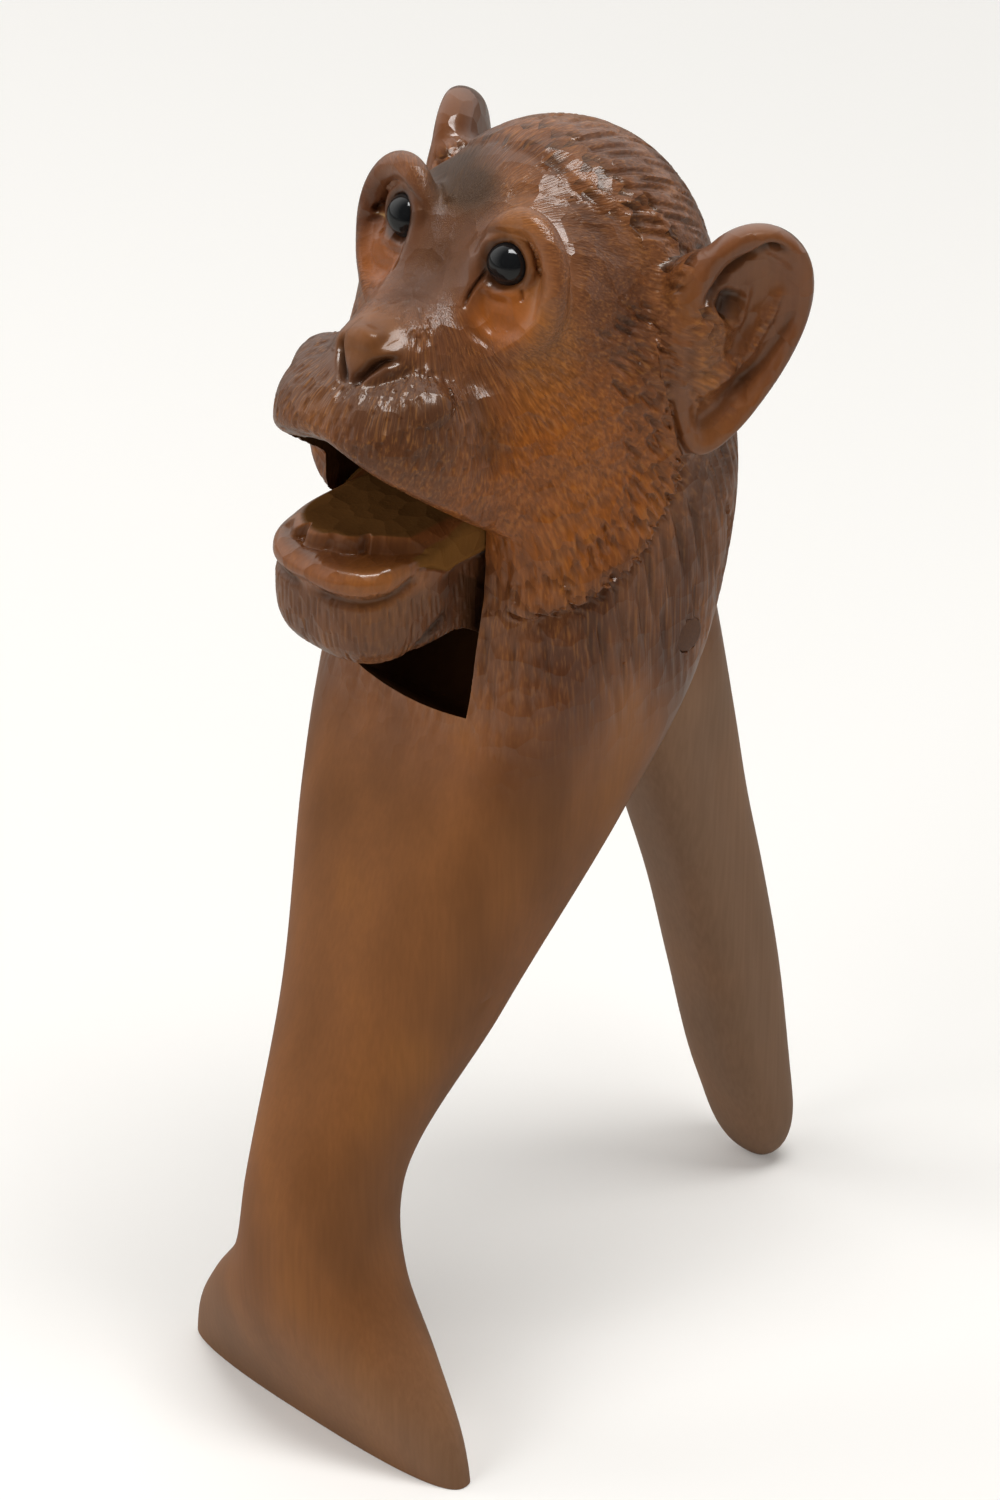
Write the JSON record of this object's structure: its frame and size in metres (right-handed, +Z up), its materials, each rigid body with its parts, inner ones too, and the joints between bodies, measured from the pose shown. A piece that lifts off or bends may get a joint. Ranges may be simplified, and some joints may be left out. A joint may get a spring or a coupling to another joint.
{
  "type": "lever nutcracker",
  "caption": "Carved wooden lever nutcracker shaped as a monkey's head: one block with a flared foot, and a hinged jaw and rear handle lever.",
  "frame": {"origin": "on the flat sole of the front handle, below the lips, on the surface the nutcracker stands on", "axes": "+Z up, the monkey looks towards -Y, +X to the monkey's left; the lever turns about an axis along X"},
  "size_m": [0.0718, 0.113, 0.2038],
  "materials": {
    "stained_wood": "red-brown stained and varnished hardwood, hand carved",
    "dowel_wood": "end grain of a stained dowel",
    "black_glass": "polished black glass bead",
    "steel_wire": "drawn steel wire"
  },
  "bodies": {
    "block": {"head_and_front_handle": "stained_wood", "pivot_pin": "dowel_wood", "eye_left": "black_glass", "eye_right": "black_glass", "eye_wire_left": "steel_wire", "eye_wire_right": "steel_wire"},
    "lever": {"jaw_and_rear_handle": "stained_wood"}
  },
  "joints": [
    {"name": "jaw_pivot", "type": "hinge", "parent": "block", "child": "lever", "pos_m": [0, 0.0515, 0.1285], "axis": [-1, 0, 0], "range_deg": [0, 17]}
  ]
}
